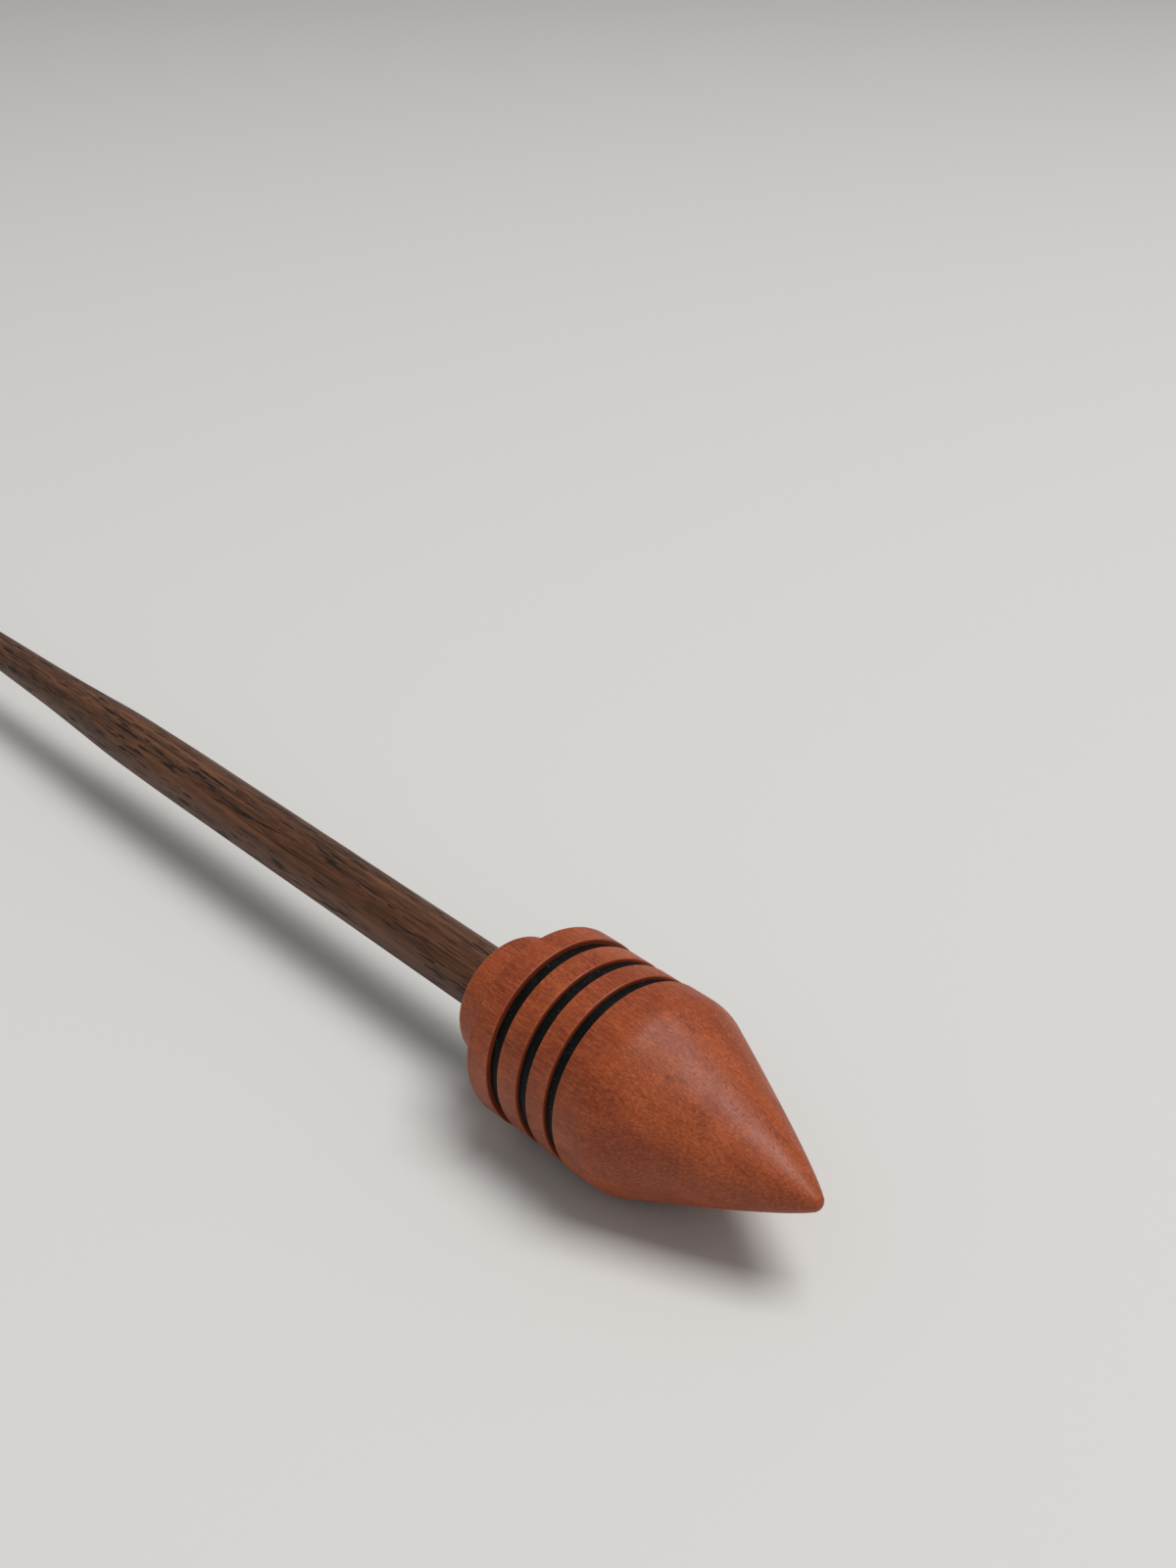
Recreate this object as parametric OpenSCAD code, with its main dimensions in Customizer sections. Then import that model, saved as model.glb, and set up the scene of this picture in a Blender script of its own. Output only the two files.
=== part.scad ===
// Support spindle for hand spinning, laid along X.
// The spinning point is at the origin and the shaft runs towards +X.

/* [Cone of the whorl] */
// Radius of the whorl at the cone's rim, its thickest place
rim_r = 15; // [13:0.5:20]
// Length from the spinning point to the back of the rim
cone_l = 35; // [30:0.5:50]
// Length of the straight rim behind the cone's shoulder
rim_l = 4.2; // [2:0.1:8]
// Radius that blends the cone into the rim
shoulder_round = 8; // [2:0.5:12]
// Length from the spinning point to the gentle bend in the cone's side
side_bend_x = 5.4; // [3:0.1:8]
// Radius at which the slopes before and behind that bend would cross
side_bend_r = 4.5; // [3:0.1:6]
// Radius of the rounded spinning point
point_r = 1.5; // [0.8:0.1:2.5]

/* [Bands and grooves] */
// Radius of the front and middle bands
band_r = 14.8; // [13:0.1:20]
// Radius of the rear band
rear_band_r = 15; // [13:0.1:20]
// Width of the front band
front_band_w = 3.8; // [2:0.1:8]
// Width of the middle band
middle_band_w = 4.2; // [2:0.1:8]
// Width of the rear band
rear_band_w = 4.4; // [2:0.1:8]
// Width of each groove
groove_w = 2; // [1:0.1:3]
// Depth of each groove below the front and middle bands
groove_depth = 2; // [1.2:0.1:3]
// How far the rings lie below the front and middle bands
ring_sunk = 0.6; // [0.2:0.1:1]
// Gap between a ring and the groove, all round
ring_gap = 0.02; // [0.01:0.01:0.1]
// Rounding of the bands' and the rim's edges
edge_round = 0.3; // [0.1:0.05:0.6]

/* [Collar] */
// Radius of the collar where it leaves the rear band
collar_front_r = 10.2; // [8:0.1:12]
// Radius of the collar at its back
collar_back_r = 9.8; // [8:0.1:12]
// Length of the collar
collar_l = 8.9; // [5:0.1:15]
// Rounding of the collar's back edge
collar_round = 0.9; // [0.2:0.1:1.5]

/* [Shaft] */
// Length of the whole spindle, point to tip
total_l = 292; // [270:1:340]
// Radius of the shaft's straight length
shaft_r = 5; // [4.5:0.1:6]
// Length of the straight part behind the collar
straight_l = 88; // [40:1:100]
// Length of the slow taper behind the straight part
slow_taper_l = 26; // [15:1:40]
// Radius at the end of the slow taper
slow_end_r = 4.8; // [4.2:0.05:4.95]
// Length of the quick taper behind the slow one
quick_taper_l = 23; // [15:1:35]
// Radius at the end of the quick taper, where the fine tip starts
quick_end_r = 3.85; // [2.6:0.05:4.1]
// Length over which the slow taper sets in, and half the length of the bend at its end
slow_bend = 6; // [2:0.5:7]
// Half the length of the bend where the fine tip starts
tip_bend = 9; // [2:0.5:10]
// Radius of the rounded tip
tip_r = 2; // [1:0.1:2.5]

/* [Tenon] */
// Radius of the tenon that is glued into the whorl
tenon_r = 4; // [3:0.1:4.3]
// Length of the tenon
tenon_l = 24; // [15:0.5:28]
// Glue clearance round the tenon
tenon_gap = 0.05; // [0.02:0.01:0.15]
// Room left for glue past the tenon's end
glue_room = 1; // [0.5:0.1:2]
// Chamfer that leads the tenon in
tenon_chamfer = 0.6; // [0.2:0.1:1]

/* [Hidden] */

// Sides of a full turn, and straight pieces of a round edge or a curve
$fn = 96;
edge_steps = 4;
curve_steps = 14;
corner_steps = 8;

// How far a cut runs past the face that it opens
cut_past = 1;

// Places along the axis, from the spinning point
front_groove_x = cone_l;
front_band_x = front_groove_x + groove_w;
middle_groove_x = front_band_x + front_band_w;
middle_band_x = middle_groove_x + groove_w;
rear_groove_x = middle_band_x + middle_band_w;
rear_band_x = rear_groove_x + groove_w;
collar_x = rear_band_x + rear_band_w;
collar_end_x = collar_x + collar_l;
tip_centre_x = total_l - tip_r;

groove_r = band_r - groove_depth;
ring_r = band_r - ring_sunk;

// The cone's side runs from the rounded point to the shoulder's round, whose centres are these
point_centre = [point_r, 0];
shoulder_centre = [cone_l - rim_l, rim_r - shoulder_round];
side_bend = [side_bend_x, side_bend_r];

// Direction from a round's centre to where a line from the point p touches it, turned by side
function touch_angle(centre, r, p, side) =
    let (d = p - centre)
        atan2(d[1], d[0]) + side * acos(r / norm(d));

point_end_a = touch_angle(point_centre, point_r, side_bend, 1);
shoulder_start_a = 360 + touch_angle(shoulder_centre, shoulder_round, side_bend, -1);

// Outlines are lists of [x, radius], and a solid of revolution is turned from one about X
module turned(outline) {
    rotate([0, 90, 0])
        rotate_extrude()
            polygon([for (p = outline) [p[1], p[0]]]);
}

// Points of an arc round a centre, from one angle to another, measured from +X towards the outside
function arc(centre, r, from, to, steps) = [
    for (i = [0 : steps])
        let (a = from + (to - from) * i / steps)
            centre + r * [cos(a), sin(a)]
];

// Points of a curve between a and b that heads for c at both ends, without a and b themselves
function bend(a, c, b, steps) = [
    for (i = [1 : steps - 1])
        let (t = i / steps)
            (1 - t) ^ 2 * a + 2 * t * (1 - t) * c + t ^ 2 * b
];

// A corner between two straight stretches, softened for the length l on either side
function soft_corner(before, corner, after, l) =
    let (
        a = corner + l * (before - corner) / norm(before - corner),
        b = corner + l * (after - corner) / norm(after - corner)
    )
        concat([a], bend(a, corner, b, corner_steps), [b]);

// The outer edges of a band from x0 to x1, both rounded
function band(x0, x1, r) = concat(
    arc([x0 + edge_round, r - edge_round], edge_round, 180, 90, edge_steps),
    arc([x1 - edge_round, r - edge_round], edge_round, 90, 0, edge_steps)
);

// The cone from the spinning point to the back edge of its rim
function cone_outline() =
    let (
        point = arc(point_centre, point_r, 180, point_end_a, curve_steps),
        shoulder = arc(shoulder_centre, shoulder_round, shoulder_start_a, 90, curve_steps)
    )
        concat(
            point,
            bend(point[curve_steps], side_bend, shoulder[0], curve_steps),
            shoulder,
            arc([cone_l - edge_round, rim_r - edge_round], edge_round, 90, 0, edge_steps)
        );

// A groove's floor, between the walls at x0 and x1
function floor_of(x0, x1) = [[x0, groove_r], [x1, groove_r]];

// The collar behind the rear band
function collar_outline() = concat(
    [[collar_x, collar_front_r]],
    arc([collar_end_x - collar_round, collar_back_r - collar_round], collar_round, 90, 0, edge_steps),
    [[collar_end_x, 0]]
);

module whorl() {
    color([0.62, 0.27, 0.15])
        difference() {
            turned(concat(
                cone_outline(),
                floor_of(front_groove_x, front_band_x),
                band(front_band_x, middle_groove_x, band_r),
                floor_of(middle_groove_x, middle_band_x),
                band(middle_band_x, rear_groove_x, band_r),
                floor_of(rear_groove_x, rear_band_x),
                band(rear_band_x, collar_x, rear_band_r),
                collar_outline()
            ));
            translate([collar_end_x - tenon_l - glue_room, 0, 0])
                rotate([0, 90, 0])
                    cylinder(r = tenon_r + tenon_gap, h = tenon_l + glue_room + cut_past);
        }
}

// The shaft behind the collar, thinning in three straight tapers that bend softly into each other
function shaft_outline() =
    let (
        start = [collar_end_x, shaft_r],
        straight_end = [collar_end_x + straight_l + slow_bend, shaft_r],
        slow_end = [straight_end[0] - slow_bend + slow_taper_l, slow_end_r],
        quick_end = [slow_end[0] + quick_taper_l, quick_end_r],
        tip = [tip_centre_x, tip_r]
    )
        concat(
            [start],
            soft_corner(start, straight_end, slow_end, slow_bend),
            soft_corner(straight_end, slow_end, quick_end, slow_bend),
            soft_corner(slow_end, quick_end, tip, tip_bend),
            arc([tip_centre_x, 0], tip_r, 90, 0, curve_steps)
        );

module shaft() {
    tenon_start_x = collar_end_x - tenon_l;
    color([0.22, 0.13, 0.09])
        turned(concat(
            [
                [tenon_start_x, 0],
                [tenon_start_x, tenon_r - tenon_chamfer],
                [tenon_start_x + tenon_chamfer, tenon_r],
                [collar_end_x, tenon_r]
            ],
            shaft_outline()
        ));
}

// A ring let into the groove that starts at x0
module groove_ring(x0) {
    color([0.03, 0.03, 0.03])
        turned([
            [x0 + ring_gap, groove_r + ring_gap],
            [x0 + groove_w - ring_gap, groove_r + ring_gap],
            [x0 + groove_w - ring_gap, ring_r],
            [x0 + ring_gap, ring_r]
        ]);
}

module front_groove_ring() {
    groove_ring(front_groove_x);
}

module middle_groove_ring() {
    groove_ring(middle_groove_x);
}

module rear_groove_ring() {
    groove_ring(rear_groove_x);
}

shaft();
whorl();
front_groove_ring();
middle_groove_ring();
rear_groove_ring();
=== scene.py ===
import math

import bpy
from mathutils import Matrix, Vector


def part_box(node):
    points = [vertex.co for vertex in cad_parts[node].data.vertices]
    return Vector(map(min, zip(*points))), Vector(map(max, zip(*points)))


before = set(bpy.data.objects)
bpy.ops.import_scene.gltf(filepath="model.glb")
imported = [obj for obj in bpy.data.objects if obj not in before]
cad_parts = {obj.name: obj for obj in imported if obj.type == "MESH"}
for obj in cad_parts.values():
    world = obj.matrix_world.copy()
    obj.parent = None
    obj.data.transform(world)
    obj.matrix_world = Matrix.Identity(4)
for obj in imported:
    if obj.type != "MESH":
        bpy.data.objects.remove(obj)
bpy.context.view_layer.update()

# Lengths, in metres
MM = 0.001
FLOOR_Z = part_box("whorl")[0].z
FLOOR_HALF = 6.0
RINGS = ["front_groove_ring", "middle_groove_ring", "rear_groove_ring"]

# Growth rings circle a pith beside the wood, bend a little along X and wander by the features of a noise
PEAR_PITH = (0.0, 34 * MM, -22 * MM)
WALNUT_PITH = (0.0, -14 * MM, 19 * MM)
SHARE_OF_X = 0.12
WANDER_SIZE = (30, 6, 6)

# Distances from a groove's edge at which the rubbed edge, and the painted shade on the groove walls, set
# in and are full
RUBBED_EDGE = (0.45 * MM, 0.22 * MM)
SHADED_WALL = (0.16 * MM, 0.05 * MM)

# Colours, as linear light
PEAR_PALE = (0.43, 0.093, 0.024, 1)
PEAR_DEEP = (0.235, 0.038, 0.010, 1)
# Dark colour of the wood's figure, also used as painted shade on the groove walls
PEAR_FIGURE_AND_WALL_SHADE = (0.125, 0.018, 0.005, 1)
PEAR_FLECK = (0.08, 0.012, 0.005, 1)
PEAR_RUBBED = (0.51, 0.130, 0.038, 1)
WALNUT_PALE = (0.155, 0.062, 0.028, 1)
WALNUT_DEEP = (0.050, 0.018, 0.008, 1)
WALNUT_STREAK = (0.014, 0.006, 0.003, 1)
WALNUT_PORE = (0.006, 0.003, 0.002, 1)
BLACK = (0.002, 0.002, 0.002, 1)
DUSTY_BLACK = (0.007, 0.0065, 0.0065, 1)
LINT = (0.30, 0.29, 0.28, 1)
FLOOR_COLOUR = (0.62, 0.61, 0.59, 1)
BACKDROP_COLOUR = (0.86, 0.86, 0.85, 1)
WHITE = (1, 1, 1, 1)

# The camera's place, its turns about X and Z, and its lens and sensor in millimetres
CAMERA_PLACE = (-0.1266, 0.1486, 0.1623)
CAMERA_TILT = math.radians(62.1)
CAMERA_HEADING = math.radians(-130.93)
LENS = 45
SENSOR = 36
CLIP_START = 0.01

# The lamps' places and sides in metres, their power in watts, and the strength of the world's light
KEY_PLACE = (-0.48, -0.40, 2.1)
KEY_SIDE = 1.2
KEY_POWER = 42
FILL_PLACE = (-1.5, 1.4, 1.3)
FILL_SIDE = 1.6
FILL_POWER = 4.5
LAMPS_AIM = (0.05, 0, 0)
GLOW_STRENGTH = 0.30


class Finish:
    """A material, with short calls for the few kinds of node that these finishes use."""

    def __init__(self, name):
        self.material = bpy.data.materials.new(name)
        self.material.use_nodes = True
        self.nodes = self.material.node_tree.nodes
        self.links = self.material.node_tree.links
        self.nodes.clear()
        output = self.nodes.new("ShaderNodeOutputMaterial")
        self.surface = self.nodes.new("ShaderNodeBsdfPrincipled")
        self.links.new(self.surface.outputs["BSDF"], output.inputs["Surface"])
        self.place = self.nodes.new("ShaderNodeTexCoord").outputs["Object"]

    def feed(self, socket, value):
        """Links an output to a socket, or sets the socket to a plain value."""
        if isinstance(value, bpy.types.NodeSocket):
            self.links.new(value, socket)
        else:
            socket.default_value = value

    def set(self, name, value):
        self.feed(self.surface.inputs[name], value)

    def vector(self, operation, a, b=(0, 0, 0)):
        node = self.nodes.new("ShaderNodeVectorMath")
        node.operation = operation
        self.feed(node.inputs[0], a)
        self.feed(node.inputs[1], b)
        return node.outputs["Value" if operation == "LENGTH" else "Vector"]

    def math(self, operation, a, b=0.0):
        node = self.nodes.new("ShaderNodeMath")
        node.operation = operation
        self.feed(node.inputs[0], a)
        self.feed(node.inputs[1], b)
        return node.outputs[0]

    def total(self, start, *terms):
        """The start plus each value times its weight."""
        for value, weight in terms:
            start = self.math("ADD", self.math("MULTIPLY", value, weight), start)
        return start

    def along_x(self):
        node = self.nodes.new("ShaderNodeSeparateXYZ")
        self.feed(node.inputs[0], self.place)
        return node.outputs["X"]

    def noise(self, size, detail=2.0, roughness=0.5, twist=0.0, shift=(0, 0, 0)):
        """Noise whose features measure size along X, Y and Z, in millimetres."""
        scaled = self.vector("MULTIPLY", self.place, [1 / (s * MM) for s in size])
        node = self.nodes.new("ShaderNodeTexNoise")
        self.feed(node.inputs["Vector"], self.vector("ADD", scaled, shift))
        node.inputs["Scale"].default_value = 1
        node.inputs["Detail"].default_value = detail
        node.inputs["Roughness"].default_value = roughness
        node.inputs["Distortion"].default_value = twist
        return node.outputs[0]

    def between(self, value, low, high):
        """0 where value is at low, 1 where it is at high, smooth between and clamped outside."""
        node = self.nodes.new("ShaderNodeMapRange")
        node.interpolation_type = "SMOOTHSTEP"
        self.feed(node.inputs["Value"], value)
        node.inputs["From Min"].default_value = low
        node.inputs["From Max"].default_value = high
        return node.outputs["Result"]

    def patches(self, size, low, high, **kind):
        """Noise made into patches, with its thresholds as in between and its kind as in noise."""
        return self.between(self.noise(size, **kind), low, high)

    def growth_rings(self, pith, spacing, wander):
        """Waves from 0 to 1 across the growth rings round a pith that runs nearly along X."""
        from_pith = self.vector("SUBTRACT", self.place, pith)
        far = self.vector("LENGTH", self.vector("MULTIPLY", from_pith, (SHARE_OF_X, 1, 1)))
        far = self.total(far, (self.noise(WANDER_SIZE), wander))
        turns = self.math("MULTIPLY", far, 2 * math.pi / spacing)
        return self.total(0.5, (self.math("SINE", turns), 0.5))

    def blend(self, factor, a, b):
        node = self.nodes.new("ShaderNodeMix")
        node.data_type = "RGBA"
        self.feed(node.inputs[0], factor)
        self.feed(node.inputs[6], a)
        self.feed(node.inputs[7], b)
        return node.outputs[2]

    def tint(self, colour, other, where, amount):
        """Blends the other colour in by amount, in the places where the mask is 1."""
        return self.blend(self.math("MULTIPLY", where, amount), colour, other)

    def relief(self, height, depth):
        """Raises the surface by height times depth, in metres."""
        node = self.nodes.new("ShaderNodeBump")
        node.inputs["Strength"].default_value = 1
        node.inputs["Distance"].default_value = depth
        self.feed(node.inputs["Height"], height)
        self.feed(self.surface.inputs["Normal"], node.outputs["Normal"])


def groove_edges():
    """Places along X of the edges of the grooves."""
    edges = []
    for name in RINGS:
        low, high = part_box(name)
        edges += [low.x, high.x]
    return edges


def pear_wood():
    """Close-grained orange-red fruitwood: soft figure, fine fibres, tiny flecks, shaded groove walls."""
    f = Finish("pear_wood")
    cloud = f.patches((24, 8, 8), 0.30, 0.70, detail=3, twist=0.6)
    rings = f.growth_rings(PEAR_PITH, spacing=2.3 * MM, wander=5 * MM)
    fibres = f.noise((2.4, 0.32, 0.32), detail=3, roughness=0.7)
    speckle = f.noise((0.7, 0.28, 0.28), detail=2, roughness=0.7, shift=(2, 9, 4))
    figure = f.patches((16, 4.5, 4.5), 0.50, 0.72, detail=4, twist=1.5, shift=(3, 7, 1))
    flecks = f.patches((0.9, 0.28, 0.28), 0.62, 0.76, detail=1, shift=(5, 2, 8))
    turning = f.noise((0.34, 40, 40), detail=2, shift=(1, 4, 9))
    dull = f.patches((7, 3, 3), 0.3, 0.7, detail=3)

    colour = f.blend(cloud, PEAR_DEEP, PEAR_PALE)
    colour = f.tint(colour, PEAR_DEEP, rings, amount=0.25)
    colour = f.tint(colour, PEAR_FIGURE_AND_WALL_SHADE, figure, amount=0.55)
    colour = f.tint(colour, PEAR_RUBBED, f.between(fibres, 0.38, 0.68), amount=0.50)
    colour = f.tint(colour, PEAR_FIGURE_AND_WALL_SHADE, f.between(speckle, 0.62, 0.38), amount=0.42)
    colour = f.tint(colour, PEAR_FIGURE_AND_WALL_SHADE, f.between(turning, 0.60, 0.40), amount=0.12)
    colour = f.tint(colour, PEAR_FLECK, flecks, amount=0.38)
    x = f.along_x()
    for edge in groove_edges():
        away = f.math("ABSOLUTE", f.math("SUBTRACT", x, edge))
        colour = f.tint(colour, PEAR_RUBBED, f.between(away, *RUBBED_EDGE), amount=0.08)
        # Painted shade: the groove walls are darkened in the colour itself, strongest right at each
        # groove's edge
        colour = f.tint(colour, PEAR_FIGURE_AND_WALL_SHADE, f.between(away, *SHADED_WALL), amount=0.80)
    f.set("Base Color", colour)
    f.set("Roughness", f.total(0.34, (dull, 0.10), (fibres, 0.14)))
    f.set("Specular IOR Level", 0.30)
    height = f.total(0.0, (fibres, 1), (turning, 0.5), (flecks, -1), (speckle, 1))
    f.relief(height, depth=0.018 * MM)
    return f.material


def walnut():
    """Oiled walnut: light and dark streaks along the shaft, and open pores as thin dark dashes."""
    f = Finish("walnut")
    bands = f.patches((70, 1.7, 1.7), 0.34, 0.66, detail=3, roughness=0.6, twist=0.4)
    rings = f.growth_rings(WALNUT_PITH, spacing=1.9 * MM, wander=2.5 * MM)
    streaks = f.patches((55, 0.75, 0.75), 0.52, 0.64, detail=3, shift=(2, 5, 7))
    fibres = f.noise((7, 0.36, 0.36), detail=4, roughness=0.75)
    pores = f.patches((6, 0.36, 0.36), 0.55, 0.62, detail=1, shift=(8, 1, 3))
    crowd = f.patches((25, 1.6, 1.6), 0.34, 0.56, detail=2, shift=(4, 4, 2))
    pores = f.math("MULTIPLY", pores, crowd)

    colour = f.blend(bands, WALNUT_DEEP, WALNUT_PALE)
    colour = f.tint(colour, WALNUT_DEEP, rings, amount=0.40)
    colour = f.tint(colour, WALNUT_STREAK, streaks, amount=0.70)
    colour = f.tint(colour, WALNUT_PALE, f.between(fibres, 0.42, 0.64), amount=0.55)
    colour = f.tint(colour, WALNUT_PORE, pores, amount=0.92)
    f.set("Base Color", colour)
    f.set("Roughness", f.total(0.36, (fibres, 0.2), (pores, 0.2)))
    f.set("Specular IOR Level", 0.26)
    f.relief(f.total(0.0, (fibres, 0.6), (pores, -2.5)), depth=0.03 * MM)
    return f.material


def black_ring():
    """Dull black, a little dusty, with a few specks of lint."""
    f = Finish("black_ring")
    dust = f.patches((1.6, 1.6, 1.6), 0.46, 0.72, detail=5, roughness=0.7)
    lint = f.patches((0.22, 0.22, 0.5), 0.74, 0.78, detail=1, shift=(6, 3, 5))
    skin = f.noise((0.12, 0.3, 0.3), detail=3, roughness=0.6)
    colour = f.blend(dust, BLACK, DUSTY_BLACK)
    f.set("Base Color", f.tint(colour, LINT, lint, amount=0.5))
    f.set("Roughness", f.total(0.40, (skin, 0.2), (dust, 0.2)))
    f.set("Specular IOR Level", 0.12)
    f.relief(skin, depth=0.02 * MM)
    return f.material


def floor_finish():
    """Plain pale paper, with a very fine tooth."""
    f = Finish("pale_floor")
    tooth = f.noise((0.6, 0.6, 0.6), detail=2)
    f.set("Base Color", FLOOR_COLOUR)
    f.set("Roughness", 0.8)
    f.set("Specular IOR Level", 0.2)
    f.relief(tooth, depth=0.01 * MM)
    return f.material


def dress(node, material):
    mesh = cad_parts[node].data
    mesh.materials.clear()
    mesh.materials.append(material)


def floor():
    mesh = bpy.data.meshes.new("floor")
    signs = [(-1, -1), (1, -1), (1, 1), (-1, 1)]
    corners = [(FLOOR_HALF * x, FLOOR_HALF * y, FLOOR_Z) for x, y in signs]
    mesh.from_pydata(corners, [], [range(len(corners))])
    mesh.materials.append(floor_finish())
    piece = bpy.data.objects.new("floor", mesh)
    bpy.context.scene.collection.objects.link(piece)


def camera():
    """The photograph's camera: no roll, 27.9 degrees down, close to the whorl."""
    data = bpy.data.cameras.new("camera")
    data.sensor_width = SENSOR
    data.lens = LENS
    data.clip_start = CLIP_START
    piece = bpy.data.objects.new("camera", data)
    piece.location = CAMERA_PLACE
    piece.rotation_euler = (CAMERA_TILT, 0, CAMERA_HEADING)
    bpy.context.scene.collection.objects.link(piece)
    bpy.context.scene.camera = piece


def softbox(name, place, side, power):
    data = bpy.data.lights.new(name, "AREA")
    data.shape = "SQUARE"
    data.size = side
    data.energy = power
    piece = bpy.data.objects.new(name, data)
    piece.location = place
    piece.rotation_euler = (Vector(LAMPS_AIM) - Vector(place)).to_track_quat("-Z", "Y").to_euler()
    bpy.context.scene.collection.objects.link(piece)


def even_world():
    """An even light from all round, which the camera itself sees as a pale backdrop."""
    world = bpy.data.worlds.new("world")
    world.use_nodes = True
    nodes = world.node_tree.nodes
    links = world.node_tree.links
    nodes.clear()
    output = nodes.new("ShaderNodeOutputWorld")
    choose = nodes.new("ShaderNodeMixShader")
    seen = nodes.new("ShaderNodeBackground")
    glow = nodes.new("ShaderNodeBackground")
    path = nodes.new("ShaderNodeLightPath")
    glow.inputs["Color"].default_value = WHITE
    glow.inputs["Strength"].default_value = GLOW_STRENGTH
    seen.inputs["Color"].default_value = BACKDROP_COLOUR
    links.new(path.outputs["Is Camera Ray"], choose.inputs[0])
    links.new(glow.outputs[0], choose.inputs[1])
    links.new(seen.outputs[0], choose.inputs[2])
    links.new(choose.outputs[0], output.inputs["Surface"])
    bpy.context.scene.world = world


dress("whorl", pear_wood())
dress("shaft", walnut())
ring_finish = black_ring()
for ring in RINGS:
    dress(ring, ring_finish)
floor()
camera()
softbox("key", KEY_PLACE, KEY_SIDE, KEY_POWER)
softbox("fill", FILL_PLACE, FILL_SIDE, FILL_POWER)
even_world()
bpy.context.scene.view_settings.view_transform = "Standard"
